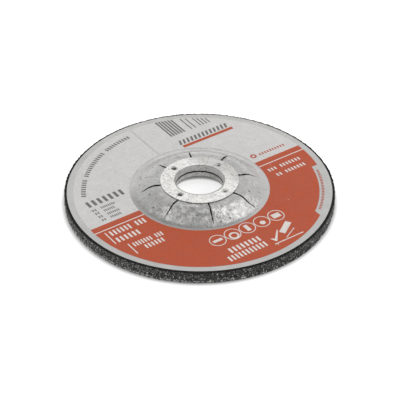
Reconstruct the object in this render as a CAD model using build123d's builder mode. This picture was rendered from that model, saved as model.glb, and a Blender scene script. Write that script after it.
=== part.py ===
from build123d import *
from math import radians, tan
import os

# Depressed-centre grinding disc, in millimetres.
# Z is the axis, z = 0 is the plane that grinds, and the hub stands up along +Z.

# Dished body
disc_d = 125.0
disc_t = 6.0  # from the grinding side to the top of the label
bore_d = 22.23
depression = 4.3  # how far the hub stands back from the plane that grinds
recess_floor_d = 42.2
slope_angle = 29.5
recess_floor_bend = 0.8
recess_mouth_bend = 11.0
grind_edge_chamfer = 0.6
back_edge_chamfer = 0.5

# Metallised paper label, glued over the whole back and cut so that it can follow the hub
label_t = 0.2
label_d = 122.4
label_hole_d = 24.4
slit_azimuth = 12.3
slit_ends = (24.5, 27.0, 30.0, 24.0, 27.0, 29.5, 30.0, 30.0)  # radius where each cut runs out
slit_widths = (0.9, 0.7, 0.65, 0.6, 0.8, 0.45, 0.45, 0.45)
slit_cover = 0.6  # how far each cut starts under the ring

# Flanged steel rings that line the bore from both sides
ring_t = 0.35
upper_ring_d = 36.4
lower_ring_d = 35.0
ring_bend = 0.6
ring_gap = 0.65  # between the two necks, halfway through the disc
neck_clearance = 0.03

# Claws pierced through the upper ring, which bite into the body
claw_azimuth = 52.9
claw_d = 2.3
claw_tip_ds = (0.7, 2.0, 2.0, 0.7)  # opening between the tips: two stand open, two are pressed nearly shut
claw_depth = 0.45
claw_notch = 0.8
claw_clearance = 0.05
claw_pocket_depth = 1.7

# Print, in its own frame: u runs to the right of the print and v to its top
ink_t = 0.04
print_azimuth = 34.8
print_inner_r = 32.4
print_outer_r = 58.3
red_top_v = 1.3
seam_u = -0.7
seam_w = 1.1
red_stripe_w = 3.8  # from the red field's top to the white line
step_depth = 3.0
ring_pitch = 8.03
block_fill = 0.5  # inked share of the pitch in a row of blocks
heading_h = 4.3
large_line_h = 3.5
middle_line_h = 2.9
small_line_h = 2.2
fine_line_h = 1.5
rule_w = 0.55  # width of a thin ruled line
wide_rule_w = 0.85
slant_count = 13
slant_pitch = 2.2
slant_lean = 1.1

disc_r = disc_d / 2
bore_r = bore_d / 2
recess_floor_r = recess_floor_d / 2
recess_mouth_r = recess_floor_r + depression / tan(radians(slope_angle))
body_t = disc_t - label_t
hub_top_z = depression + disc_t
mid_z = depression + disc_t / 2
neck_r = bore_r + ring_t
claw_count = len(claw_tip_ds)
claw_circle_r = (bore_d + upper_ring_d) / 4  # halfway across the flange
claw_pocket_r = claw_d / 2 + ring_t + claw_clearance
zone_w = print_outer_r - print_inner_r


def dish_curve(height, inner_r, outer_r):
    """Section of the dish, square to its wall by height above the grinding side."""
    shift = height * tan(radians(slope_angle / 2))
    return FilletPolyline(
        (inner_r, depression + height),
        (recess_floor_r + shift, depression + height),
        (recess_mouth_r + shift, height),
        (outer_r, height),
        radius=(recess_floor_bend + height, recess_mouth_bend - height),
    )


def dish_section(low, high, inner_r, outer_r):
    """Closed section of one layer of the dish."""
    under = dish_curve(low, inner_r, outer_r)
    over = dish_curve(high, inner_r, outer_r)
    Line(under @ 0, over @ 0)
    Line(under @ 1, over @ 1)


def claw_holes(radius):
    """One round hole for each claw."""
    with PolarLocations(claw_circle_r, claw_count, claw_azimuth):
        Circle(radius)


def across(share):
    """Distance from the print's centre to a point this share of the way across the printed zone."""
    return print_inner_r + share * zone_w


def bar(left, right, low, high):
    """A plain bar."""
    with Locations(((left + right) / 2, (low + high) / 2)):
        Rectangle(right - left, high - low)


def block_row(left, right, middle_v, height, *groups):
    """Plain blocks that stand for a line of print; groups gives the blocks between two gaps."""
    places = sum(groups) + len(groups) - 1
    pitch = (right - left) / (places - 1 + block_fill)
    first_u = left + pitch * block_fill / 2
    for group in groups:
        with Locations((first_u + (group - 1) * pitch / 2, middle_v)):
            with GridLocations(pitch, 0, group, 1):
                Rectangle(pitch * block_fill, height)
        first_u += (group + 1) * pitch


def block_arc(share, height, start_angle, sweep, count):
    """Blocks on an arc of the printed zone, each square to its radius."""
    pitch = sweep / count
    width = radians(pitch) * across(share) * block_fill
    with PolarLocations(across(share), count, start_angle + pitch / 2, sweep):
        Rectangle(height, width)


def printed_zone():
    """The ring of the label that carries print."""
    Circle(print_outer_r)
    Circle(print_inner_r, mode=Mode.SUBTRACT)


# Moulded abrasive body
with BuildPart() as abrasive_disc:
    with BuildSketch(Plane.XZ) as body_section:
        with BuildLine():
            dish_section(0, body_t, neck_r + neck_clearance, disc_r)
        make_face()
        rim_corners = body_section.vertices().group_by(Axis.X)[-1].sort_by(Axis.Z)
        chamfer(rim_corners[0], grind_edge_chamfer)
        chamfer(rim_corners[-1], back_edge_chamfer)
    revolve(axis=Axis.Z)
    with BuildSketch(Plane.XY.offset(hub_top_z)):
        claw_holes(claw_pocket_r)
    extrude(amount=-claw_pocket_depth, mode=Mode.SUBTRACT)

# Label
with BuildPart() as label:
    with BuildSketch(Plane.XZ):
        with BuildLine():
            dish_section(body_t, disc_t, label_hole_d / 2, label_d / 2)
        make_face()
    revolve(axis=Axis.Z)
    slit_start_r = upper_ring_d / 2 - slit_cover
    with BuildSketch(Plane.XY):
        for index, (end_r, width) in enumerate(zip(slit_ends, slit_widths)):
            reach = end_r - slit_start_r
            with PolarLocations(slit_start_r, 1, slit_azimuth + index * 360 / len(slit_ends)):
                Polygon(
                    (0, width / 3),
                    (reach / 2, width / 2),
                    (reach, 0),
                    (reach / 2, -width / 2),
                    (0, -width / 3),
                    align=None,
                )
        claw_holes(claw_pocket_r)
    extrude(amount=2 * hub_top_z, mode=Mode.SUBTRACT)

# Claws: each is a spout pressed through the flange, split into four pointed petals
claws = []
for tip_d in claw_tip_ds:
    with BuildPart() as claw:
        with BuildSketch(Plane.XZ):
            Polygon(
                (claw_d / 2, hub_top_z + ring_t / 2),
                (claw_d / 2 + ring_t, hub_top_z + ring_t / 2),
                (tip_d / 2 + ring_t, hub_top_z - claw_depth),
                (tip_d / 2, hub_top_z - claw_depth),
                align=None,
            )
        revolve(axis=Axis.Z)
        for notch_plane in (Plane.XZ, Plane.YZ):
            with BuildSketch(notch_plane):
                Polygon(
                    (0, hub_top_z),
                    (claw_notch / 2, hub_top_z - claw_depth),
                    (-claw_notch / 2, hub_top_z - claw_depth),
                    align=None,
                )
            extrude(amount=claw_d, both=True, mode=Mode.SUBTRACT)
    claws.append(claw.part)


def flanged_ring(flange_z, neck_end_z, flange_r):
    """Section of a bent ring: a flat flange with a neck that lines the bore."""
    toward_neck = 1 if neck_end_z > flange_z else -1
    outer_face_z = flange_z - toward_neck * ring_t
    skin = FilletPolyline(
        (bore_r, neck_end_z),
        (bore_r, outer_face_z),
        (flange_r, outer_face_z),
        radius=ring_bend,
    )
    back = Polyline((neck_r, neck_end_z), (neck_r, flange_z), (flange_r, flange_z))
    Line(skin @ 0, back @ 0)
    Line(skin @ 1, back @ 1)


# Upper ring, on the label
with BuildPart() as upper_ring:
    with BuildSketch(Plane.XZ):
        with BuildLine():
            flanged_ring(hub_top_z, mid_z + ring_gap / 2, upper_ring_d / 2)
        make_face()
    revolve(axis=Axis.Z)
    with BuildSketch(Plane.XY.offset(hub_top_z)):
        claw_holes(claw_d / 2)
    extrude(amount=ring_t, mode=Mode.SUBTRACT)
    for index, claw_part in enumerate(claws):
        with PolarLocations(claw_circle_r, 1, claw_azimuth + index * 360 / claw_count):
            add(claw_part)

# Lower ring, in the recess of the grinding side
with BuildPart() as lower_ring:
    with BuildSketch(Plane.XZ):
        with BuildLine():
            flanged_ring(depression, mid_z - ring_gap / 2, lower_ring_d / 2)
        make_face()
    revolve(axis=Axis.Z)

first_ink = Plane.XY.offset(disc_t).rotated((0, 0, print_azimuth))
second_ink = Plane.XY.offset(disc_t + ink_t).rotated((0, 0, print_azimuth))
beyond_print = 4 * print_outer_r

# Pale grey field, with the thin bare line that runs up it
with BuildPart() as grey_print:
    with BuildSketch(first_ink):
        printed_zone()
        with Locations((0, red_top_v)):
            Rectangle(beyond_print, beyond_print, align=(Align.CENTER, Align.MAX), mode=Mode.SUBTRACT)
        with Locations((seam_u, 0)):
            Rectangle(seam_w, beyond_print, mode=Mode.SUBTRACT)
    extrude(amount=ink_t)

# Step in the red field's outer edge
with BuildSketch(Plane.XY) as step:
    Circle(print_outer_r)
    Circle(print_outer_r - step_depth, mode=Mode.SUBTRACT)
    with Locations((across(0.01), -across(-0.62))):
        Rectangle(beyond_print, beyond_print, align=(Align.MIN, Align.MAX), mode=Mode.INTERSECT)

# Red field, the blocks in its step, and the red shapes on the grey field
with BuildPart() as red_print:
    with BuildSketch(first_ink):
        printed_zone()
        with Locations((0, red_top_v)):
            Rectangle(beyond_print, beyond_print, align=(Align.CENTER, Align.MIN), mode=Mode.SUBTRACT)
        add(step.sketch_local, mode=Mode.SUBTRACT)
        block_arc(0.945, 0.8 * fine_line_h, -52, 32, 26)
    extrude(amount=ink_t)
    with BuildSketch(second_ink):
        bar(0.485 * zone_w, 1.6 * zone_w, across(-0.062), across(0.008))
        block_row(across(0.24), across(0.795), 0.222 * zone_w, fine_line_h, 10)
        with Locations((across(0.112), 0.235 * zone_w)):
            Circle(0.06 * zone_w)
            Circle(0.031 * zone_w, mode=Mode.SUBTRACT)
    extrude(amount=ink_t)

# White shapes on the red field
with BuildPart() as white_print:
    with BuildSketch(second_ink):
        printed_zone()
        with Locations((0, red_top_v - red_stripe_w)):
            Rectangle(beyond_print, rule_w, mode=Mode.INTERSECT)
        # left column
        bar(-across(0.844) - rule_w / 2, -across(0.844) + rule_w / 2, -0.525 * zone_w, -0.162 * zone_w)
        block_row(-across(0.776), -across(0.073), -0.237 * zone_w, large_line_h, 6, 3)
        block_row(-across(0.776), -across(0.332), -0.455 * zone_w, large_line_h, 6)
        bar(-across(0.681) - rule_w / 2, -across(0.681) + rule_w / 2, -0.958 * zone_w, -0.641 * zone_w)
        block_row(-across(0.614), -across(0.031), -0.718 * zone_w, middle_line_h, 7, 3)
        block_row(-across(0.471), -across(0.108), -0.872 * zone_w, middle_line_h, 6)
        # right column
        block_row(across(0.07), across(0.768), -0.283 * zone_w, small_line_h, 3, 7)
        block_row(across(0.116), across(0.741), -0.478 * zone_w, small_line_h, 2, 7)
        # foot of the print
        block_row(-0.622 * zone_w, 0, -across(0.538), large_line_h, 8)
        block_row(-0.76 * zone_w, 0.008 * zone_w, -across(0.717), large_line_h, 11)
        bar(0.12 * zone_w, 0.726 * zone_w, -across(0.826) - rule_w / 2, -across(0.826) + rule_w / 2)
        with BuildLine():
            Polyline(
                (0.14 * zone_w, -across(0.66)),
                (0.18 * zone_w, -across(0.675)),
                (0.205 * zone_w, -across(0.705)),
                (0.383 * zone_w, -across(0.52)),
                (0.395 * zone_w, -across(0.535)),
                (0.21 * zone_w, -across(0.772)),
                (0.19 * zone_w, -across(0.772)),
                close=True,
            )
        make_face()
        with Locations(Location((0.55 * zone_w, -across(0.545)), 34)):
            Rectangle(0.33 * zone_w, 0.112 * zone_w)
        with Locations(Location((0.53 * zone_w, -across(0.715)), 28)):
            Rectangle(0.3 * zone_w, 0.016 * zone_w)
        # five rings, each round a plain shape
        with Locations((0, -across(0.185))):
            with GridLocations(ring_pitch, 0, 5, 1):
                Circle(0.49 * ring_pitch)
                Circle(0.44 * ring_pitch, mode=Mode.SUBTRACT)
            with Locations((-2 * ring_pitch, 0)):
                Rectangle(0.6 * ring_pitch, 0.2 * ring_pitch)
            with Locations((-ring_pitch, -0.15 * ring_pitch)):
                Circle(0.3 * ring_pitch)
                Circle(0.19 * ring_pitch, mode=Mode.SUBTRACT)
            Rectangle(0.24 * ring_pitch, 0.55 * ring_pitch)
            with Locations((ring_pitch, -0.1 * ring_pitch)):
                Circle(0.17 * ring_pitch)
            with Locations((2 * ring_pitch, 0)):
                Rectangle(0.52 * ring_pitch, 0.38 * ring_pitch)
    extrude(amount=ink_t)

# Dark grey shapes on the pale grey field
with BuildPart() as dark_print:
    with BuildSketch(second_ink):
        # groups of bars that run out to the edge of the print
        for first_u, count, pitch, width in (
            (0.5 * zone_w, 6, 0.058 * zone_w, wide_rule_w),
            (0.95 * zone_w, 2, 0.089 * zone_w, rule_w),
            (1.16 * zone_w, 4, 0.066 * zone_w, rule_w),
        ):
            for index in range(count):
                with Locations((first_u + index * pitch, across(0.368))):
                    Rectangle(width, zone_w, align=(Align.CENTER, Align.MIN))
        Circle(across(0.985), mode=Mode.INTERSECT)
        # heading, and the rows under it
        block_row(-across(0.676), -across(-0.058), 0.684 * zone_w, heading_h, 7)
        for share, count in ((0.49, 8), (0.386, 6), (0.278, 7), (0.17, 6)):
            block_row(-across(0.687), -across(0.614), share * zone_w, fine_line_h, 2)
            block_row(-across(0.51), -across(0.51 - 0.034 * count), share * zone_w, fine_line_h, count)
        # words on an arc
        for start_angle, sweep, count in ((138.7, 14.7, 8), (113.9, 22.5, 13), (94.6, 17.2, 10)):
            block_arc(0.817, small_line_h, start_angle, sweep, count)
        # slanted bars over the red stripe
        for index in range(slant_count):
            with Locations((0.47 * zone_w + index * slant_pitch, across(0.04))):
                Polygon(
                    (0, 0),
                    (slant_pitch * block_fill, 0),
                    (slant_pitch * block_fill + slant_lean, large_line_h),
                    (slant_lean, large_line_h),
                    align=None,
                )
    extrude(amount=ink_t)

os.makedirs("parts", exist_ok=True)

abrasive_disc.part.label = "abrasive_disc"
export_step(abrasive_disc.part, "parts/abrasive_disc.step")
label.part.label = "label"
export_step(label.part, "parts/label.step")
upper_ring.part.label = "upper_ring"
export_step(upper_ring.part, "parts/upper_ring.step")
lower_ring.part.label = "lower_ring"
export_step(lower_ring.part, "parts/lower_ring.step")
grey_print.part.label = "grey_print"
export_step(grey_print.part, "parts/grey_print.step")
red_print.part.label = "red_print"
export_step(red_print.part, "parts/red_print.step")
white_print.part.label = "white_print"
export_step(white_print.part, "parts/white_print.step")
dark_print.part.label = "dark_print"
export_step(dark_print.part, "parts/dark_print.step")
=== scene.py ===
import bmesh
import bpy
import random
from functools import reduce
from math import ceil, cos, hypot, pi, radians, sin, tan
from mathutils import Matrix, Vector, noise


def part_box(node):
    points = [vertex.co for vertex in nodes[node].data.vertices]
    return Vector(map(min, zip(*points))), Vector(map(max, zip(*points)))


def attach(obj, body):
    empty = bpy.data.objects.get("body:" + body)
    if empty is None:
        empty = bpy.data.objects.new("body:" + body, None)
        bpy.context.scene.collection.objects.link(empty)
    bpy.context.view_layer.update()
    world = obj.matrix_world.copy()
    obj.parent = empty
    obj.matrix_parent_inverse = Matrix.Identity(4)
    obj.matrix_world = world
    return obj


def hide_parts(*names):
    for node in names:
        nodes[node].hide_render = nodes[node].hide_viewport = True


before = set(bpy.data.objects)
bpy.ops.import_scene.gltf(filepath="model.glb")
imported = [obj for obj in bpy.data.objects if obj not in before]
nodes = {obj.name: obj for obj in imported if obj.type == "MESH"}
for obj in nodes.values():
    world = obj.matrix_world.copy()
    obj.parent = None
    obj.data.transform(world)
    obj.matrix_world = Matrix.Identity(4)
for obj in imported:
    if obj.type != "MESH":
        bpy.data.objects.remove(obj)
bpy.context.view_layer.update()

MM = 0.001

# Sizes that the dressed pieces share with the frame
DISC_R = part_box("abrasive_disc")[1].x
HUB_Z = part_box("abrasive_disc")[1].z
LABEL_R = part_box("label")[1].x
LABEL_BACK_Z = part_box("label")[0].z
LABEL_FACE_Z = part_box("grey_print")[0].z
LABEL_T = LABEL_FACE_Z - LABEL_BACK_Z
RING_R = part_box("upper_ring")[1].x
DEPRESSION = HUB_Z - LABEL_BACK_Z

# The dish, as the solid has it
BODY_BORE_R = 11.495 * MM
LABEL_HOLE_R = 12.2 * MM
RECESS_FLOOR_R = 21.1 * MM
SLOPE = radians(29.5)
RECESS_MOUTH_R = RECESS_FLOOR_R + DEPRESSION / tan(SLOPE)
FLOOR_BEND = 0.8 * MM
MOUTH_BEND = 11 * MM
GRIND_EDGE = 0.5 * MM
BACK_EDGE = 0.5 * MM

# Claws pierced through the upper ring
CLAW_COUNT = 4
CLAW_AZIMUTH = radians(52.9)
CLAW_CIRCLE_R = 14.66 * MM
CLAW_POCKET_R = 1.55 * MM
CLAW_POCKET_DEPTH = 1.7 * MM
CLAW_BAND = 1.9 * MM

# Cuts in the label: where each one ends, and how wide it stands open
SLIT_AZIMUTH = radians(12.3)
SLIT_ENDS = [end * MM for end in (27.0, 27.0, 25.0, 23.5, 28.0, 29.5, 30.0, 30.5)]
SLIT_WIDTHS = [width * MM for width in (1.35, 1.0, 0.8, 0.9, 1.4, 0.9, 0.9, 1.05)]
SLIT_START_R = RING_R - 0.9 * MM
SLIT_REACH = 1.5 * MM
SLIT_LIFT = 0.12 * MM
SLIT_WANDER = 0.35 * MM
ON_SLIT = 0.01 * MM

# Foil over the hub: the grain that shows through it, and how deep it is dented and creased
FOIL_GRAIN = 1.3 * MM
FOIL_DENT = 0.05 * MM
FOIL_CREASE = 0.14 * MM

# Glass-fibre net under the grinding side, and the shares of its yarns whose ends show at the rim
WEAVE_TURN = radians(13)
WEAVE_PITCH = 5.1 * MM
YARN_PAIR_GAP = 1.3 * MM
YARN_W = 0.85 * MM
YARN_T = 0.55 * MM
YARN_STUB = 1.6 * MM
YARN_OUT = 0.16 * MM
YARN_Z = 1.1 * MM
PAIR_SHARE = 0.8
SINGLE_SHARE = 0.85
WEAVE_DEPTH = 0.3 * MM

# Grit: how large its grains are, how deep the gaps between them lie, and how far the highest stand out
COARSE_SIZE = 0.95 * MM
FINE_SIZE = 0.5 * MM
COARSE_GRIT = 0.3 * MM
FINE_GRIT = 0.13 * MM
GRIT_OUT = 0.16 * MM
MARGIN_RISE = 0.18 * MM

# Mesh: sectors and steps round the axis, steps along each stretch of a section, and what merges
SECTORS = 30
BODY_STEPS = 900
RIM_STEP = 0.37 * MM
CLAW_STEP = 0.5 * MM
GRIND_STEP = 1.25 * MM
HIDDEN_STEP = 5 * MM
LABEL_STEPS = 720
HUB_FOIL_STEP = 0.45 * MM
FLAT_FOIL_STEP = 3.2 * MM
MERGE = 0.005 * MM

# Colours of resin, dust, wear and dirt, and of painted light and shade
RESIN_AND_SHADE = (0.012, 0.012, 0.0115)
TORN_FIBRE = (0.5, 0.49, 0.475)
NET_RESIN = (0.02, 0.0195, 0.019)
NET_DUST = (0.13, 0.125, 0.118)
FOIL_PAINTED_LIGHT = (0.63, 0.625, 0.612)
FOIL_FOOT_SHADE = (0.3, 0.298, 0.292)
FOIL_PIT = (0.16, 0.16, 0.16)
STEEL_SIDE_SHADE = (0.42, 0.415, 0.4)
STEEL_SHADE = (0.14, 0.138, 0.13)
CLAW_SHADE = (0.1, 0.098, 0.093)
CLAW_SMUDGE = (0.2, 0.197, 0.188)
BARE_PAPER = (0.62, 0.62, 0.61)

# Studio: the camera that the disc's circles were fitted with, and how far the floor reaches
CAMERA_LENS = 143.46
CAMERA_PLACE = Vector((0, -0.59485, 0.43906))
CAMERA_AIM = Vector((0.00018, -0.0015, 0))
FLOOR_REACH = 3.0


def mesh_piece(name, bm):
    """Turns a finished bmesh into a smooth piece that rides on the disc."""
    mesh = bpy.data.meshes.new(name)
    bm.to_mesh(mesh)
    bm.free()
    for face in mesh.polygons:
        face.use_smooth = True
    piece = bpy.data.objects.new(name, mesh)
    bpy.context.scene.collection.objects.link(piece)
    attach(piece, "root")
    return piece


def apply_modifiers(piece):
    """Keeps the mesh that the piece's modifiers give."""
    bpy.context.view_layer.update()
    evaluated = piece.evaluated_get(bpy.context.evaluated_depsgraph_get())
    finished = bpy.data.meshes.new_from_object(evaluated)
    piece.modifiers.clear()
    piece.data = finished


def corner_line(bm, corners, closed):
    """A section in the XZ plane from (radius, height, bend radius, turn, segments) corners."""
    verts = [bm.verts.new((r, 0, z)) for r, z, *_ in corners]
    for first, second in zip(verts, verts[1:]):
        bm.edges.new((first, second))
    if closed:
        bm.edges.new((verts[-1], verts[0]))
    for vert, (_, _, bend, turn, segments) in zip(verts, corners):
        if bend:
            bmesh.ops.bevel(bm, geom=[vert], offset=bend * tan(turn / 2), offset_type="OFFSET",
                            segments=segments, profile=0.5, affect="VERTICES", material=-1)


def divide_line(bm, step_at):
    """Divides each edge of a section into the steps that its place needs."""
    for edge in list(bm.edges):
        middle = (edge.verts[0].co + edge.verts[1].co) / 2
        cuts = ceil(edge.calc_length() / step_at(middle)) - 1
        if cuts > 0:
            bmesh.ops.subdivide_edges(bm, edges=[edge], cuts=cuts)


def spin_full(bm, steps):
    """Spins a section round the disc's axis into one sector, then repeats it into a closed surface."""
    centre, axis = (0, 0, 0), (0, 0, 1)
    bmesh.ops.spin(bm, geom=bm.verts[:] + bm.edges[:], cent=centre, axis=axis,
                   angle=2 * pi / SECTORS, steps=steps // SECTORS,
                   use_merge=False, use_duplicate=False)
    bmesh.ops.spin(bm, geom=bm.verts[:] + bm.edges[:] + bm.faces[:], cent=centre, axis=axis,
                   angle=2 * pi * (SECTORS - 1) / SECTORS, steps=SECTORS - 1,
                   use_merge=False, use_duplicate=True)
    bmesh.ops.remove_doubles(bm, verts=bm.verts[:], dist=MERGE)
    bmesh.ops.recalc_face_normals(bm, faces=bm.faces[:])


def ease(low, high, value):
    """Smooth rise from 0 at low to 1 at high."""
    share = min(max((value - low) / (high - low), 0), 1)
    return share * share * (3 - 2 * share)


def grain_depth(place, size):
    """How far the surface lies below its highest grains, from 0 to 1: round grains of uneven height."""
    distances, centres = noise.voronoi(place / size)
    height = 0.5 + 0.5 * noise.cell(centres[0] * 7.3)
    return min(1, distances[0] ** 2 * 1.5 + 0.55 * height)


def from_line(value, pitch):
    """Distance from the nearest of many lines that are a pitch apart, one of them at 0."""
    return abs((value + pitch / 2) % pitch - pitch / 2)


def weave_height(x, y):
    """Relief of the net, from 0 between the yarns to 1 on a yarn: pairs one way, single yarns the other."""
    u = x * cos(WEAVE_TURN) + y * sin(WEAVE_TURN)
    v = y * cos(WEAVE_TURN) - x * sin(WEAVE_TURN)
    from_pair = abs(from_line(u, WEAVE_PITCH) - YARN_PAIR_GAP / 2)
    nearest = min(from_pair, from_line(v, WEAVE_PITCH))
    return 1 - ease(0.2 * YARN_W, 0.8 * YARN_W, nearest)


def claw_centres():
    """Centre of each claw, seen from above."""
    for claw in range(CLAW_COUNT):
        angle = CLAW_AZIMUTH + claw * 2 * pi / CLAW_COUNT
        yield Vector((CLAW_CIRCLE_R * cos(angle), CLAW_CIRCLE_R * sin(angle)))


# Moulded abrasive body
def body_step(place):
    """Length of a step along the body's section: fine on the rim, the margin and round the claws."""
    radius, height = place.x, place.z
    if radius > LABEL_R - 0.6 * MM and height > 0.3 * MM:
        return RIM_STEP
    if height > HUB_Z - 0.1 * MM and abs(radius - CLAW_CIRCLE_R) < CLAW_BAND + 0.1 * MM:
        return CLAW_STEP
    if height > LABEL_BACK_Z - 0.1 * MM:
        return HIDDEN_STEP
    return GRIND_STEP


def grit_depth(place, radius, on_top):
    """How far the body's skin lies below its smooth shape, which its highest grains overtop."""
    coarse = grain_depth(place, COARSE_SIZE)
    fine = grain_depth(place + Vector((1, 2, 3)), FINE_SIZE)
    depth = COARSE_GRIT * coarse + FINE_GRIT * fine
    on_net = place.z < 0.2 * MM or radius < RECESS_MOUTH_R + 3 * MM
    if on_net:
        depth = 0.8 * depth + WEAVE_DEPTH * (1 - weave_height(place.x, place.y))
    else:
        depth -= GRIT_OUT
    on_margin = on_top > 0.9
    return depth - MARGIN_RISE if on_margin else depth


def roughen_body(bm):
    """Sinks the rim and the grinding side between their grains, and presses the claw pockets."""
    for vert in bm.verts:
        place = vert.co
        radius = hypot(place.x, place.y)
        on_top = ease(LABEL_BACK_Z - 0.45 * MM, LABEL_BACK_Z - 0.1 * MM, place.z)
        under_label = on_top * ease(LABEL_R + 0.2 * MM, LABEL_R - 0.1 * MM, radius)
        past_ring = ease(RING_R - 0.8 * MM, RING_R + 0.2 * MM, radius)
        grit = (1 - under_label) * past_ring
        if grit > 0:
            vert.co = place - vert.normal * grit_depth(place, radius, on_top) * grit
        elif place.z > LABEL_BACK_Z:
            if any((place.xy - centre).length < CLAW_POCKET_R for centre in claw_centres()):
                vert.co.z -= CLAW_POCKET_DEPTH


def abrasive_body():
    """The moulded disc with its gritty rim and grinding side."""
    shift = LABEL_BACK_Z * tan(SLOPE / 2)
    right = pi / 2
    bm = bmesh.new()
    corner_line(bm, (
        (BODY_BORE_R, DEPRESSION, 0, 0, 0),
        (RECESS_FLOOR_R, DEPRESSION, FLOOR_BEND, SLOPE, 2),
        (RECESS_MOUTH_R, 0, MOUTH_BEND, SLOPE, 6),
        (DISC_R, 0, GRIND_EDGE, right, 4),
        (DISC_R, LABEL_BACK_Z, BACK_EDGE, right, 2),
        (LABEL_R - MM, LABEL_BACK_Z, 0, 0, 0),
        (RECESS_MOUTH_R + shift, LABEL_BACK_Z, MOUTH_BEND - LABEL_BACK_Z, SLOPE, 6),
        (RECESS_FLOOR_R + shift, HUB_Z, FLOOR_BEND + LABEL_BACK_Z, SLOPE, 6),
        (CLAW_CIRCLE_R + CLAW_BAND, HUB_Z, 0, 0, 0),
        (CLAW_CIRCLE_R - CLAW_BAND, HUB_Z, 0, 0, 0),
        (BODY_BORE_R, HUB_Z, 0, 0, 0),
    ), closed=True)
    divide_line(bm, body_step)
    spin_full(bm, BODY_STEPS)
    bm.normal_update()
    roughen_body(bm)
    piece = mesh_piece("abrasive_body", bm)
    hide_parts("abrasive_disc")
    return piece


# Label
def label_step(place):
    """Length of a step along the label's section: fine where the foil is dented over the hub."""
    if RING_R - MM < place.x < RECESS_MOUTH_R + 4 * MM:
        return HUB_FOIL_STEP
    return FLAT_FOIL_STEP


def cut_slit(bm, along, across, end_r):
    """Splits the label's edges along one radius, out to where the slit ends."""
    def on_line(vert):
        return abs(vert.co.dot(across)) < ON_SLIT and SLIT_START_R < vert.co.dot(along)

    inside = {v for v in bm.verts if on_line(v) and v.co.dot(along) < end_r}
    edges = {e for v in inside for e in v.link_edges if on_line(e.other_vert(v))}
    bmesh.ops.split_edges(bm, edges=list(edges))


def slit_side(vert, across):
    """1 or -1 for the side of the slit that a vert is on; a lip's verts go with their faces."""
    offset = vert.co.dot(across)
    if abs(offset) < ON_SLIT:
        offset = sum(f.calc_center_median().dot(across) for f in vert.link_faces)
    return 1 if offset > 0 else -1


def part_lips(bm, along, across, end_r, width, lift):
    """Presses the foil aside from a slit, so that its lips stand apart and one is a little higher."""
    near = [v for v in bm.verts
            if abs(v.co.dot(across)) < SLIT_REACH and SLIT_START_R < v.co.dot(along) < end_r]
    for vert in near:
        side = slit_side(vert, across)
        nearness = 1 - abs(vert.co.dot(across)) / SLIT_REACH
        share = (vert.co.dot(along) - SLIT_START_R) / (end_r - SLIT_START_R)
        half = width / 2 * (1 - share ** 3) * (1 + 0.5 * noise.noise(along * share * 6))
        wander = SLIT_WANDER * noise.noise(across * 5 + along * share * 2.5) * min(1, 4 * share)
        vert.co += across * (side * half + wander) * nearness
        vert.co.z += side * lift * (1 - share) * nearness ** 2


def open_slits(bm):
    """Cuts the label at its eight radii."""
    for index, (end, width) in enumerate(zip(SLIT_ENDS, SLIT_WIDTHS)):
        azimuth = SLIT_AZIMUTH + index * 2 * pi / len(SLIT_ENDS)
        along = Vector((cos(azimuth), sin(azimuth), 0))
        across = Vector((-sin(azimuth), cos(azimuth), 0))
        cut_slit(bm, along, across, end)
        lift = random.uniform(-SLIT_LIFT, SLIT_LIFT)
        part_lips(bm, along, across, end, width, lift)


def dent_foil(bm):
    """Presses the foil on the hub against the grain below it, and creases it a little."""
    for vert in bm.verts:
        radius = vert.co.xy.length
        on_hub = ease(RING_R + 0.1 * MM, RING_R + 1.6 * MM, radius)
        on_hub *= 1 - ease(RECESS_MOUTH_R + 1.5 * MM, RECESS_MOUTH_R + 3.6 * MM, radius)
        if on_hub > 0:
            grain = grain_depth(vert.co, FOIL_GRAIN)
            crease = noise.noise(vert.co * 260) + 0.5 * noise.noise(vert.co * 610)
            vert.co -= vert.normal * (FOIL_DENT * grain - FOIL_CREASE * crease) * on_hub


def pierce_label(bm):
    """Takes the foil away over the claw pockets."""
    faces = [f for centre in claw_centres() for f in bm.faces
             if (f.calc_center_median().xy - centre).length < CLAW_POCKET_R]
    bmesh.ops.delete(bm, geom=faces, context="FACES")


def foil_label(foil, cut_edge):
    """The metallised paper label, dented over the hub and open at its slits, dark at its cut edges."""
    shift = LABEL_FACE_Z * tan(SLOPE / 2)
    hub_face_z = HUB_Z + LABEL_T
    bm = bmesh.new()
    corner_line(bm, (
        (LABEL_HOLE_R, hub_face_z, 0, 0, 0),
        (CLAW_CIRCLE_R - 1.5 * MM, hub_face_z, 0, 0, 0),
        (CLAW_CIRCLE_R, hub_face_z, 0, 0, 0),
        (CLAW_CIRCLE_R + 1.5 * MM, hub_face_z, 0, 0, 0),
        (SLIT_START_R, hub_face_z, 0, 0, 0),
        (RECESS_FLOOR_R + shift, hub_face_z, FLOOR_BEND + LABEL_FACE_Z, SLOPE, 8),
        (RECESS_MOUTH_R + shift, LABEL_FACE_Z, MOUTH_BEND - LABEL_FACE_Z, SLOPE, 8),
        (LABEL_R, LABEL_FACE_Z, 0, 0, 0),
    ), closed=False)
    divide_line(bm, label_step)
    first_slit = Matrix.Rotation(SLIT_AZIMUTH, 3, "Z")
    bmesh.ops.rotate(bm, verts=bm.verts[:], cent=(0, 0, 0), matrix=first_slit)
    spin_full(bm, LABEL_STEPS)
    if bm.faces[0].normal.z < 0:
        bmesh.ops.reverse_faces(bm, faces=bm.faces[:])
    bm.normal_update()
    dent_foil(bm)
    pierce_label(bm)
    open_slits(bm)
    piece = mesh_piece("foil_label", bm)
    piece.data.materials.append(foil)
    piece.data.materials.append(cut_edge)
    wall = piece.modifiers.new("paper", "SOLIDIFY")
    wall.thickness = 0.95 * LABEL_T
    wall.offset = -1
    wall.material_offset_rim = 1
    apply_modifiers(piece)
    piece.data.set_sharp_from_angle(angle=radians(50))
    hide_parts("label")


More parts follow.
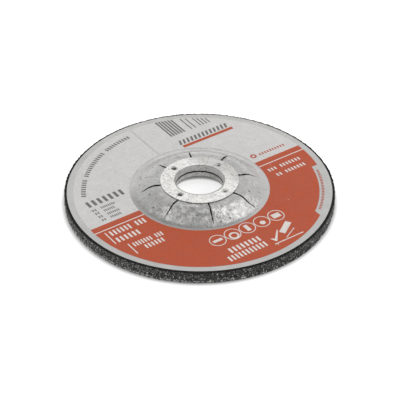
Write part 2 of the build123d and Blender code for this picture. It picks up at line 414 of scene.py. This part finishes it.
# Yarn ends
def yarn_end(bm, offset, along, across, direction):
    """One cut end of a yarn at the rim, a flat bundle that stands a little out of the grit."""
    height = YARN_Z + random.uniform(-0.2, 0.3) * MM
    radius = DISC_R + random.uniform(0.02 * MM, YARN_OUT)
    width = YARN_W * random.uniform(0.7, 1.6)
    reach = direction * (radius ** 2 - (abs(offset) + width / 2) ** 2) ** 0.5
    end = along * reach + across * offset
    made = bmesh.ops.create_cone(bm, cap_ends=True, segments=8, radius1=width / 2,
                                 radius2=width * 0.4, depth=YARN_STUB)
    verts = made["verts"]
    bmesh.ops.scale(bm, vec=(1, YARN_T / width, 1), verts=verts)
    outward = along * direction
    turn = outward.to_track_quat("Z", "Y").to_matrix()
    bmesh.ops.rotate(bm, verts=verts, cent=(0, 0, 0), matrix=turn)
    centre = end - outward * YARN_STUB / 2 + Vector((0, 0, height))
    bmesh.ops.translate(bm, verts=verts, vec=centre)


def yarn_ends():
    """The net's yarn ends, where the rim cuts through the weave."""
    bm = bmesh.new()
    u_axis = Vector((cos(WEAVE_TURN), sin(WEAVE_TURN), 0))
    v_axis = Vector((-sin(WEAVE_TURN), cos(WEAVE_TURN), 0))
    rows = int(DISC_R / WEAVE_PITCH)
    for row in range(-rows, rows + 1):
        for direction in (-1, 1):
            for pair_side in (-0.5, 0.5):
                offset = row * WEAVE_PITCH + pair_side * YARN_PAIR_GAP
                if abs(offset) < DISC_R - MM and random.random() < PAIR_SHARE:
                    yarn_end(bm, offset, v_axis, u_axis, direction)
            offset = row * WEAVE_PITCH
            if random.random() < SINGLE_SHARE:
                yarn_end(bm, offset, u_axis, v_axis, direction)
    bmesh.ops.recalc_face_normals(bm, faces=bm.faces[:])
    piece = mesh_piece("yarn_ends", bm)
    return piece


# Shared effects
def new_group(name, inputs, outputs):
    """An empty node group with the sockets named; each input has its default."""
    group = bpy.data.node_groups.new(name, "ShaderNodeTree")
    for label, default in inputs:
        socket = group.interface.new_socket(label, in_out="INPUT", socket_type="NodeSocketFloat")
        socket.default_value = default
    for label, kind in outputs:
        group.interface.new_socket(label, in_out="OUTPUT", socket_type=kind)
    return group, group.nodes.new("NodeGroupInput"), group.nodes.new("NodeGroupOutput")


def feed(tree, socket, value):
    """Links an input to another node's output, or sets it to a plain value."""
    if isinstance(value, bpy.types.NodeSocket):
        tree.links.new(value, socket)
    else:
        socket.default_value = value


def use_group(tree, group, **values):
    """Puts a shared effect into a material or another group, with its own values."""
    node = tree.nodes.new("ShaderNodeGroup")
    node.node_tree = group
    for label, value in values.items():
        feed(tree, node.inputs[label], value)
    return node.outputs


def maths(tree, operation, first, second=0.0):
    """A Math node on sockets or plain numbers; gives its output."""
    node = tree.nodes.new("ShaderNodeMath")
    node.operation = operation
    feed(tree, node.inputs[0], first)
    feed(tree, node.inputs[1], second)
    return node.outputs[0]


def product(tree, *values):
    """Several masks or plain numbers multiplied."""
    return reduce(lambda first, second: maths(tree, "MULTIPLY", first, second), values)


def strongest(tree, *values):
    """The largest of several masks."""
    return reduce(lambda first, second: maths(tree, "MAXIMUM", first, second), values)


def length_of(tree, first, second):
    """Length of the line with these two parts at right angles."""
    squares = [maths(tree, "POWER", maths(tree, "ABSOLUTE", part), 2.0) for part in (first, second)]
    return maths(tree, "SQRT", maths(tree, "ADD", *squares))


def remap(tree, value, low, high, out_low=0.0, out_high=1.0):
    """A smooth Map Range node on a value; gives its output."""
    node = tree.nodes.new("ShaderNodeMapRange")
    node.interpolation_type = "SMOOTHSTEP"
    ends = {"From Min": low, "From Max": high, "To Min": out_low, "To Max": out_high}
    for label, number in ends.items():
        node.inputs[label].default_value = number
    tree.links.new(value, node.inputs["Value"])
    return node.outputs["Result"]


def band(tree, value, low, rise, fall, high):
    """1 from rise to fall, easing to 0 at low and at high."""
    return product(tree, remap(tree, value, low, rise), remap(tree, value, high, fall))


def object_places(tree):
    """Object coordinates, in metres."""
    return tree.nodes.new("ShaderNodeTexCoord").outputs["Object"]


def towards(tree, direction, low, high):
    """0 to 1 across the object along a direction, from low to high in millimetres."""
    along = tree.nodes.new("ShaderNodeVectorMath")
    along.operation = "DOT_PRODUCT"
    tree.links.new(object_places(tree), along.inputs[0])
    along.inputs[1].default_value = Vector(direction).normalized()
    return remap(tree, along.outputs["Value"], low * MM, high * MM)


def turned_places(tree, angle):
    """The parts of the Object coordinates, turned about the disc's axis."""
    turned = tree.nodes.new("ShaderNodeMapping")
    turned.inputs["Rotation"].default_value = (0, 0, -angle)
    tree.links.new(object_places(tree), turned.inputs["Vector"])
    parts = tree.nodes.new("ShaderNodeSeparateXYZ")
    tree.links.new(turned.outputs[0], parts.inputs[0])
    return parts.outputs


def rippled_places(tree, scale, reach):
    """Object coordinates moved a little by noise, so that what they carry isn't round."""
    ripple = tree.nodes.new("ShaderNodeTexNoise")
    ripple.inputs["Scale"].default_value = scale
    soft = tree.nodes.new("ShaderNodeVectorMath")
    soft.operation = "SCALE"
    soft.inputs["Scale"].default_value = reach
    bent = tree.nodes.new("ShaderNodeVectorMath")
    bent.operation = "ADD"
    places = object_places(tree)
    tree.links.new(places, ripple.inputs["Vector"])
    tree.links.new(ripple.outputs["Color"], soft.inputs[0])
    tree.links.new(places, bent.inputs[0])
    tree.links.new(soft.outputs[0], bent.inputs[1])
    return bent.outputs[0]


def noise_value(tree, scale, detail=2.0, roughness=0.5):
    """A Noise texture's value, its scale in waves to the metre."""
    node = tree.nodes.new("ShaderNodeTexNoise")
    node.inputs["Scale"].default_value = scale
    node.inputs["Detail"].default_value = detail
    node.inputs["Roughness"].default_value = roughness
    tree.links.new(object_places(tree), node.inputs["Vector"])
    return node.outputs["Fac"]


def grey(level):
    """A neutral colour."""
    return (level, level, level)


def grain_group():
    """Packed grains: their rounded relief, and one random tint for each."""
    group, given, out = new_group("packed_grains", [("Scale", 1200.0)],
                                  [("Relief", "NodeSocketFloat"), ("Tint", "NodeSocketFloat")])
    cells = group.nodes.new("ShaderNodeTexVoronoi")
    group.links.new(object_places(group), cells.inputs["Vector"])
    group.links.new(given.outputs["Scale"], cells.inputs["Scale"])
    relief = remap(group, cells.outputs["Distance"], 0.0, 0.8, 1.0, 0.0)
    group.links.new(relief, out.inputs["Relief"])
    shade = group.nodes.new("ShaderNodeSeparateColor")
    group.links.new(cells.outputs["Color"], shade.inputs["Color"])
    group.links.new(shade.outputs["Red"], out.inputs["Tint"])
    return group


def speck_group():
    """Sparse small specks: a mask that is 1 on each."""
    group, given, out = new_group("specks", [("Scale", 400.0), ("Share", 0.1), ("Size", 0.25)],
                                  [("Mask", "NodeSocketFloat")])
    cells = group.nodes.new("ShaderNodeTexVoronoi")
    group.links.new(rippled_places(group, 2500, 0.4 * MM), cells.inputs["Vector"])
    group.links.new(given.outputs["Scale"], cells.inputs["Scale"])
    shade = group.nodes.new("ShaderNodeSeparateColor")
    group.links.new(cells.outputs["Color"], shade.inputs["Color"])
    chosen = maths(group, "LESS_THAN", shade.outputs["Green"], given.outputs["Share"])
    radius = product(group, shade.outputs["Blue"], given.outputs["Size"])
    near = maths(group, "LESS_THAN", cells.outputs["Distance"], radius)
    group.links.new(product(group, chosen, near), out.inputs["Mask"])
    return group


def disc_place_group():
    """Distance from the disc's axis and height over the floor, both in millimetres."""
    group, _, out = new_group("place_on_disc", [],
                              [("Radius", "NodeSocketFloat"), ("Height", "NodeSocketFloat")])
    parts = group.nodes.new("ShaderNodeSeparateXYZ")
    group.links.new(object_places(group), parts.inputs[0])
    radius = length_of(group, parts.outputs["X"], parts.outputs["Y"])
    group.links.new(product(group, radius, 1 / MM), out.inputs["Radius"])
    group.links.new(product(group, parts.outputs["Z"], 1 / MM), out.inputs["Height"])
    return group


def claw_place_group():
    """Distance from the nearest claw's centre, in millimetres."""
    group, _, out = new_group("claw_place", [], [("Distance", "NodeSocketFloat")])
    places = turned_places(group, CLAW_AZIMUTH)
    sides = [maths(group, "ABSOLUTE", places[axis]) for axis in ("X", "Y")]
    along = maths(group, "SUBTRACT", maths(group, "MAXIMUM", *sides), CLAW_CIRCLE_R)
    distance = length_of(group, along, maths(group, "MINIMUM", *sides))
    group.links.new(product(group, distance, 1 / MM), out.inputs["Distance"])
    return group


def dimple_group(grains, specks):
    """The grain below showing through paper: shallow dimples, a few deeper pits and a faint mottle."""
    group, given, out = new_group("paper_dimples", [("Grain", 950.0), ("Pits", 0.1), ("Mottle", 0.3)],
                                  [("Height", "NodeSocketFloat"), ("Pit", "NodeSocketFloat"),
                                   ("Mottle", "NodeSocketFloat")])
    packed = use_group(group, grains, Scale=given.outputs["Grain"])
    pit = use_group(group, specks, Scale=520, Share=given.outputs["Pits"], Size=0.27)["Mask"]
    wide = noise_value(group, 210, detail=3)
    raised = product(group, packed["Relief"], packed["Tint"])
    mixed = maths(group, "ADD", raised, product(group, wide, given.outputs["Mottle"]))
    height = maths(group, "SUBTRACT", mixed, product(group, pit, 1.2))
    group.links.new(height, out.inputs["Height"])
    group.links.new(pit, out.inputs["Pit"])
    group.links.new(wide, out.inputs["Mottle"])
    return group


GRAINS = grain_group()
SPECKS = speck_group()
DIMPLES = dimple_group(GRAINS, SPECKS)
DISC_PLACE = disc_place_group()
CLAW_PLACE = claw_place_group()


def new_material(name, **sockets):
    """A material with one Principled shader, its plain values set on the shader's own sockets."""
    material = bpy.data.materials.new(name)
    material.use_nodes = True
    shader = material.node_tree.nodes["Principled BSDF"]
    for socket, value in sockets.items():
        shader.inputs[socket.replace("_", " ")].default_value = value
    return material, material.node_tree, shader


def ramp(tree, value, stops):
    """Colours along a value: (position, (red, green, blue)) stops."""
    node = tree.nodes.new("ShaderNodeValToRGB")
    elements = node.color_ramp.elements
    while len(elements) < len(stops):
        elements.new(0.5)
    for element, (position, colour) in zip(elements, stops):
        element.position = position
        element.color = (*colour, 1)
    tree.links.new(value, node.inputs["Fac"])
    return node.outputs["Color"]


def blend_colours(tree, mask, first, second, blend_type="MIX"):
    """Mixes two colours, each a socket or a plain colour, by a mask."""
    node = tree.nodes.new("ShaderNodeMix")
    node.data_type = "RGBA"
    node.blend_type = blend_type
    feed(tree, node.inputs[0], mask)
    for socket, colour in ((node.inputs[6], first), (node.inputs[7], second)):
        plain = not isinstance(colour, bpy.types.NodeSocket)
        feed(tree, socket, (*colour, 1) if plain else colour)
    return node.outputs[2]


def bump(tree, shader, height, distance):
    """Feeds a height into the shader's normal."""
    node = tree.nodes.new("ShaderNodeBump")
    node.inputs["Distance"].default_value = distance
    tree.links.new(height, node.inputs["Height"])
    tree.links.new(node.outputs["Normal"], shader.inputs["Normal"])


def net_masks(tree, place):
    """1 on the net's yarns, and 1 wherever the net lies: on the grinding side and in the recess."""
    places = turned_places(tree, WEAVE_TURN)
    from_middle = maths(tree, "PINGPONG", places["X"], WEAVE_PITCH / 2)
    from_pair = maths(tree, "ABSOLUTE", maths(tree, "SUBTRACT", from_middle, YARN_PAIR_GAP / 2))
    from_single = maths(tree, "PINGPONG", places["Y"], WEAVE_PITCH / 2)
    nearest = maths(tree, "MINIMUM", from_pair, from_single)
    on_yarn = remap(tree, nearest, 0.2 * YARN_W, 0.65 * YARN_W, 1.0, 0.0)
    below = product(tree, remap(tree, place["Height"], 5.2, 5.0), remap(tree, place["Radius"], 61.8, 61.0))
    return product(tree, on_yarn, below), below


def resin_and_shade_mask(tree, place, coarse, fine):
    """0 where the grains are darkened: dark resin between them, darker on the margin, and painted shade at
    the foot and in the bore.
    """
    gaps = product(tree, remap(tree, coarse["Relief"], 0.0, 0.4), remap(tree, fine["Relief"], 0.0, 0.4))
    below_margin = remap(tree, place["Height"], 5.8, 5.5, 0.05, 1.0)
    # painted contact shade along the foot of the rim
    above_foot = remap(tree, place["Height"], 0.1, 0.7, 0.55, 1.0)
    # painted shade on the body's bore wall, so that the gap between the rings shows dark
    past_bore = remap(tree, place["Radius"], 11.9, 12.3)
    return product(tree, gaps, below_margin, above_foot, past_bore)


def torn_foot(tree, place):
    """Pale torn fibre along the foot of the rim, on the left."""
    low = remap(tree, place["Height"], 2.0, 0.9)
    torn = remap(tree, noise_value(tree, 900, detail=3, roughness=0.6), 0.48, 0.57, 0.05, 1.0)
    return product(tree, low, towards(tree, (-0.6, -0.8, 0), 25, 60), torn)


def abrasive_finish():
    """Brown-black grains in dark resin, with some pale ones."""
    material, tree, shader = new_material("bonded_abrasive", Specular_IOR_Level=0.3)
    coarse = use_group(tree, GRAINS, Scale=1250)
    fine = use_group(tree, GRAINS, Scale=2300)
    place = use_group(tree, DISC_PLACE)
    tint = maths(tree, "ADD", product(tree, coarse["Tint"], 0.25), product(tree, fine["Tint"], 0.75))
    grain = ramp(tree, tint, ((0.22, (0.014, 0.014, 0.0135)), (0.42, (0.052, 0.05, 0.047)),
                              (0.62, (0.155, 0.15, 0.143)), (0.78, (0.36, 0.352, 0.34)),
                              (0.92, (0.8, 0.79, 0.77))))
    # dark resin between the grains, with painted shade at the foot and in the bore
    colour = blend_colours(tree, resin_and_shade_mask(tree, place, coarse, fine), RESIN_AND_SHADE, grain)
    colour = blend_colours(tree, torn_foot(tree, place), colour, TORN_FIBRE)
    yarn, below = net_masks(tree, place)
    colour = blend_colours(tree, product(tree, below, 0.6), colour, NET_RESIN)
    dust = product(tree, yarn, remap(tree, fine["Tint"], 0.2, 0.8, 0.15, 0.75))
    colour = blend_colours(tree, dust, colour, NET_DUST)
    tree.links.new(colour, shader.inputs["Base Color"])
    gloss = remap(tree, fine["Tint"], 0.0, 1.0, 0.75, 0.35)
    dull_margin = remap(tree, place["Height"], 5.5, 5.8)
    tree.links.new(strongest(tree, gloss, dull_margin), shader.inputs["Roughness"])
    height = maths(tree, "ADD", coarse["Relief"], product(tree, fine["Relief"], 0.6))
    bump(tree, shader, height, 0.22 * MM)
    return material


def yarn_finish():
    """Off-white glass fibre, dark where resin has soaked in."""
    material, tree, shader = new_material("glass_yarn", Roughness=0.45)
    stain = noise_value(tree, 1500, detail=2)
    colour = ramp(tree, stain, ((0.35, (0.45, 0.44, 0.42)), (0.55, (0.9, 0.89, 0.87))))
    tree.links.new(colour, shader.inputs["Base Color"])
    bump(tree, shader, noise_value(tree, 6000), 0.05 * MM)
    return material


def cut_paper_finish():
    """The label's cut edge: dark fibres with grit dust in them."""
    material, tree, shader = new_material("cut_paper", Roughness=0.85, Specular_IOR_Level=0.2)
    fibres = noise_value(tree, 2200, detail=3)
    colour = ramp(tree, fibres, ((0.35, (0.02, 0.02, 0.019)), (0.65, (0.06, 0.058, 0.055))))
    tree.links.new(colour, shader.inputs["Base Color"])
    bump(tree, shader, fibres, 0.04 * MM)
    return material


def hub_wear_and_shading(tree, colour, radius, on_hub):
    """The foil on the hub: rubbed all over, with painted light at the back, painted crease highlights and
    shade in front, and painted shade at its near foot.
    """
    # painted light: the foil at the back of the hub is paler
    far_side = product(tree, towards(tree, (0, 1, 0), 19, 25), on_hub)
    colour = blend_colours(tree, far_side, colour, FOIL_PAINTED_LIGHT)
    rubbed = ramp(tree, noise_value(tree, 650, detail=4, roughness=0.65),
                  ((0.36, grey(0.79)), (0.5, grey(0.91)), (0.66, grey(0.97))))
    colour = blend_colours(tree, on_hub, colour, rubbed, "MULTIPLY")
    # painted crease highlights and shade on the foil in front
    near_side = product(tree, towards(tree, (0, -1, 0), 13, 21), on_hub)
    crease_light_and_shade = ramp(tree, noise_value(tree, 420, detail=5, roughness=0.68),
                  ((0.36, grey(0.74)), (0.5, grey(1.06)), (0.64, grey(1.5))))
    colour = blend_colours(tree, near_side, colour, crease_light_and_shade, "MULTIPLY")
    # painted shade at the near foot of the hub slope, along the print's edge
    at_foot = band(tree, radius, 28.8, 30.2, 32.5, 34.0)
    foot_shade = product(tree, towards(tree, (-0.35, -0.94, 0), 6, 24), at_foot, 0.75)
    return blend_colours(tree, foot_shade, colour, FOIL_FOOT_SHADE)


def foil_finish():
    """Dull metal foil on paper, pressed on the grain below."""
    material, tree, shader = new_material("label_foil", Metallic=0.9)
    dimples = use_group(tree, DIMPLES, Grain=1000, Pits=0.36, Mottle=0.8)
    radius = use_group(tree, DISC_PLACE)["Radius"]
    on_hub = remap(tree, radius, 31.5, 29.0)
    stain = noise_value(tree, 90, detail=4, roughness=0.6)
    colour = ramp(tree, stain, ((0.3, (0.462, 0.46, 0.454)), (0.7, (0.515, 0.51, 0.5))))
    colour = hub_wear_and_shading(tree, colour, radius, on_hub)
    colour = blend_colours(tree, product(tree, dimples["Pit"], on_hub), colour, FOIL_PIT)
    tree.links.new(colour, shader.inputs["Base Color"])
    tree.links.new(remap(tree, dimples["Mottle"], 0.3, 0.7, 0.24, 0.36), shader.inputs["Roughness"])
    depth = maths(tree, "ADD", product(tree, on_hub, 0.8), 0.2)
    bump(tree, shader, product(tree, dimples["Height"], depth), 0.09 * MM)
    return material


def ink_finish(name, colour, chip, chip_share):
    """Printing ink on the label, with the paper's dimples, a few chips and some dust."""
    material, tree, shader = new_material(name)
    dimples = use_group(tree, DIMPLES, Grain=820, Pits=0.07, Mottle=0.15)
    darker, lighter, dirty = ([share * part for part in colour] for share in (0.965, 1.035, 0.5))
    base = ramp(tree, dimples["Mottle"], ((0.35, darker), (0.65, lighter)))
    fine = noise_value(tree, 900, detail=3, roughness=0.65)
    flecked = ramp(tree, fine, ((0.38, grey(0.955)), (0.62, grey(1.045))))
    base = blend_colours(tree, 1.0, base, flecked, "MULTIPLY")
    chips = use_group(tree, SPECKS, Scale=330, Share=chip_share, Size=0.16)
    base = blend_colours(tree, chips["Mask"], base, chip)
    dust = use_group(tree, SPECKS, Scale=410, Share=0.2, Size=0.18)
    base = blend_colours(tree, dust["Mask"], base, dirty)
    tree.links.new(base, shader.inputs["Base Color"])
    tree.links.new(remap(tree, dimples["Mottle"], 0.3, 0.7, 0.45, 0.58), shader.inputs["Roughness"])
    bump(tree, shader, dimples["Height"], 0.035 * MM)
    return material


def lip_shade(tree, height):
    """Painted shade along the two necks' lips, where they face each other in the bore."""
    low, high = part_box("lower_ring")[1].z / MM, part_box("upper_ring")[0].z / MM
    from_gap = maths(tree, "ABSOLUTE", maths(tree, "SUBTRACT", height, (low + high) / 2))
    reach = (high - low) / 2
    return remap(tree, from_gap, reach + 0.25, reach + 0.08, 0.0, 0.92)


def painted_ring_shade(tree, place):
    """Where shade is painted on the rings: the flange's edge, the necks with their lips and foot, the bend
    between, and the bore's near lip.
    """
    radius, height = place["Radius"], place["Height"]
    edge = remap(tree, radius, RING_R / MM - 0.12, RING_R / MM - 0.02)
    neck = remap(tree, radius, 11.75, 11.3)
    foot = remap(tree, height, 4.95, 4.55, 0.36, 0.95)
    bend = band(tree, radius, 11.15, 11.3, 11.62, 11.8)
    near_lip = product(tree, remap(tree, radius, 12.2, 11.9), towards(tree, (0, -1, 0), 2, 8))
    return strongest(tree, product(tree, edge, 0.75), product(tree, neck, foot),
                     product(tree, neck, lip_shade(tree, height)),
                     product(tree, bend, 0.7), product(tree, near_lip, 0.6))


def claw_marks(tree, height):
    """Shade in the claws on the right, which are nearly shut, and a smudge round each claw."""
    distance = use_group(tree, CLAW_PLACE)["Distance"]
    on_right = towards(tree, (1, 0, 0), -5, 5)
    on_upper = remap(tree, height, 8.0, 9.0)
    shade = product(tree, remap(tree, distance, 1.4, 1.0), on_upper, on_right, 0.15)
    patchy = remap(tree, noise_value(tree, 1500), 0.4, 0.56, 0.08, 0.8)
    fainter = maths(tree, "SUBTRACT", 1.0, product(tree, on_right, 0.4))
    smudge = product(tree, band(tree, distance, 1.05, 1.3, 1.5, 1.9), on_upper, patchy, fainter)
    return shade, smudge


def steel_finish():
    """Dull zinc plate with a cloudy spangle, with painted shade at its edges, in its bore and towards its
    back right, and marked round its claws.
    """
    material, tree, shader = new_material("plated_steel", Metallic=0.4)
    cloud = noise_value(tree, 420, detail=4, roughness=0.65)
    spangle = use_group(tree, GRAINS, Scale=900)
    place = use_group(tree, DISC_PLACE)
    colour = ramp(tree, cloud, ((0.3, (0.7, 0.69, 0.665)), (0.5, (0.86, 0.855, 0.83)),
                                (0.72, (0.95, 0.945, 0.92))))
    # painted shade: the ring is darker towards its back right
    stain = product(tree, towards(tree, (0.6, 0.8, 0), 7, 13), 0.5)
    colour = blend_colours(tree, stain, colour, STEEL_SIDE_SHADE)
    # painted shade at the flange's edge, in the bore and at the bend
    colour = blend_colours(tree, painted_ring_shade(tree, place), colour, STEEL_SHADE)
    grit = noise_value(tree, 1100, detail=3, roughness=0.7)
    flecked = ramp(tree, grit, ((0.33, (0.5, 0.49, 0.465)), (0.47, grey(1.03)), (0.66, grey(1.08))))
    colour = blend_colours(tree, 1.0, colour, flecked, "MULTIPLY")
    shade, smudge = claw_marks(tree, place["Height"])
    colour = blend_colours(tree, shade, colour, CLAW_SHADE)
    colour = blend_colours(tree, smudge, colour, CLAW_SMUDGE)
    tree.links.new(colour, shader.inputs["Base Color"])
    tree.links.new(remap(tree, spangle["Tint"], 0.0, 1.0, 0.4, 0.55), shader.inputs["Roughness"])
    height = maths(tree, "ADD", cloud, product(tree, spangle["Tint"], 0.15))
    bump(tree, shader, height, 0.09 * MM)
    return material


def dress(piece, material):
    """Puts one finish on a piece."""
    piece.data.materials.clear()
    piece.data.materials.append(material)


def dress_node(name, material):
    """Gives a CAD node its finish."""
    dress(nodes[name], material)


def dress_prints():
    """Inks the four prints; a chip shows the bare paper or the ink below."""
    inks = (
        ("grey", (0.685, 0.675, 0.662), (0.42, 0.42, 0.41), 0.14),
        ("red", (0.5, 0.064, 0.008), BARE_PAPER, 0.14),
        ("white", (0.8, 0.74, 0.7), (0.6, 0.4, 0.36), 0.14),
        ("dark", (0.15, 0.146, 0.142), BARE_PAPER, 0.12),
    )
    for name, colour, chip, chip_share in inks:
        slot = name + "_ink"
        dress_node(name + "_print", ink_finish(slot, colour, chip, chip_share))


def dress_pieces():
    """Makes the dressed pieces and gives every piece and node its finish."""
    random.seed(7)
    dress(abrasive_body(), abrasive_finish())
    foil_label(foil_finish(), cut_paper_finish())
    dress(yarn_ends(), yarn_finish())
    dress_prints()
    steel = steel_finish()
    dress_node("upper_ring", steel)
    dress_node("lower_ring", steel)


# Studio
def shown_share(tree):
    """1 for what the camera, a gloss or a glass shows directly, else 0."""
    path = tree.nodes.new("ShaderNodeLightPath")
    return strongest(tree, path.outputs["Is Camera Ray"], path.outputs["Is Glossy Ray"],
                     path.outputs["Is Transmission Ray"])


def surroundings_level(tree):
    """How bright each direction is: dimmer overhead, beside and on the camera's side, brighter low left."""
    sky = tree.nodes.new("ShaderNodeSeparateXYZ")
    tree.links.new(tree.nodes.new("ShaderNodeTexCoord").outputs["Generated"], sky.inputs[0])
    x, y = sky.outputs["X"], sky.outputs["Y"]
    steepness = maths(tree, "ABSOLUTE", sky.outputs["Z"])
    overhead = maths(tree, "ADD", remap(tree, steepness, 0.60, 0.80, 1.26, 0.8),
                     remap(tree, steepness, 0.94, 1.0, 0.0, 0.08))
    level = maths(tree, "SUBTRACT", overhead, product(tree, steepness, 0.2))
    dimming = product(tree, x, x, remap(tree, steepness, 0.05, 0.3, 0.0, 0.45))
    beside = maths(tree, "SUBTRACT", 1.0, dimming)
    leftwards = maths(tree, "ADD", product(tree, x, -0.85), product(tree, y, -0.53))
    low_left = product(tree, remap(tree, steepness, 0.35, 0.1), remap(tree, leftwards, 0.3, 0.9, 0.0, 2.2))
    behind = remap(tree, y, -0.9, 0.1, 0.5, 1.0)
    return product(tree, level, beside, maths(tree, "ADD", 1.0, low_left), behind)


def studio_world():
    """Pale surroundings that light the disc; the camera sees plain white."""
    world = bpy.data.worlds.new("studio")
    world.use_nodes = True
    bpy.context.scene.world = world
    tree = world.node_tree
    tree.nodes.clear()
    out = tree.nodes.new("ShaderNodeOutputWorld")
    mix = tree.nodes.new("ShaderNodeMixShader")
    seen = tree.nodes.new("ShaderNodeBackground")
    lit = tree.nodes.new("ShaderNodeBackground")
    path = tree.nodes.new("ShaderNodeLightPath")
    seen.inputs["Color"].default_value = (1, 1, 1, 1)
    lit.inputs["Color"].default_value = (1, 1, 1, 1)
    tree.links.new(surroundings_level(tree), lit.inputs["Strength"])
    tree.links.new(path.outputs["Is Camera Ray"], mix.inputs["Fac"])
    tree.links.new(lit.outputs[0], mix.inputs[1])
    tree.links.new(seen.outputs[0], mix.inputs[2])
    tree.links.new(mix.outputs[0], out.inputs["Surface"])


def softbox(name, direction, distance, size, power):
    """A square area lamp that looks at the disc."""
    data = bpy.data.lights.new(name, "AREA")
    data.shape = "SQUARE"
    data.size = size
    data.energy = power
    lamp = bpy.data.objects.new(name, data)
    bpy.context.scene.collection.objects.link(lamp)
    place = Vector(direction).normalized() * distance
    lamp.location = place
    lamp.rotation_euler = (-place).to_track_quat("-Z", "Y").to_euler()


def floor_glow(tree):
    """How bright the floor shows by itself: most through the bore, least under the disc. This paints light
    on the floor through the bore, where it lies in the disc's shade, and fades near the rim so that the
    disc's shadow shows there.
    """
    radius = use_group(tree, DISC_PLACE)["Radius"]
    in_bore = remap(tree, radius, 14.2, 16.4, 0.7, 0.12)
    middle = remap(tree, radius, 4.0, 11.0, 0.1, 0.0)
    outside = remap(tree, radius, 62.0, 65.0, 0.0, 0.6)
    glow = maths(tree, "ADD", maths(tree, "SUBTRACT", in_bore, middle), outside)
    return product(tree, shown_share(tree), glow)


def floor_finish():
    """Matt white paper, with a glow that lifts it to plain white away from the disc."""
    material = bpy.data.materials.new("floor")
    material.use_nodes = True
    tree = material.node_tree
    tree.nodes.clear()
    out = tree.nodes.new("ShaderNodeOutputMaterial")
    add = tree.nodes.new("ShaderNodeAddShader")
    matt = tree.nodes.new("ShaderNodeBsdfDiffuse")
    glow = tree.nodes.new("ShaderNodeEmission")
    matt.inputs["Color"].default_value = (0.75, 0.75, 0.75, 1)
    tree.links.new(floor_glow(tree), glow.inputs["Color"])
    tree.links.new(matt.outputs[0], add.inputs[0])
    tree.links.new(glow.outputs[0], add.inputs[1])
    tree.links.new(add.outputs[0], out.inputs["Surface"])
    return material


def studio_floor():
    """A pale floor that keeps the disc's shadow and shows white elsewhere."""
    bm = bmesh.new()
    bmesh.ops.create_grid(bm, x_segments=1, y_segments=1, size=FLOOR_REACH)
    mesh = bpy.data.meshes.new("floor")
    bm.to_mesh(mesh)
    bm.free()
    floor = bpy.data.objects.new("floor", mesh)
    bpy.context.scene.collection.objects.link(floor)
    floor.data.materials.append(floor_finish())


def photo_camera():
    """The photograph's viewing angle: lens, height and distance as fitted to the disc's circles."""
    data = bpy.data.cameras.new("camera")
    data.sensor_width = 36
    data.lens = CAMERA_LENS
    data.clip_start = 0.05
    camera = bpy.data.objects.new("camera", data)
    bpy.context.scene.collection.objects.link(camera)
    camera.location = CAMERA_PLACE
    camera.rotation_euler = (CAMERA_AIM - CAMERA_PLACE).to_track_quat("-Z", "Y").to_euler()
    bpy.context.scene.camera = camera


photo_camera()
dress_pieces()
studio_world()
softbox("key", direction=(0.5, 0.18, 0.84), distance=0.7, size=0.45, power=0.82)
softbox("top", direction=(-0.4, 0.02, 0.9), distance=0.7, size=0.2, power=0.12)
studio_floor()
bpy.context.scene.view_settings.view_transform = "Standard"
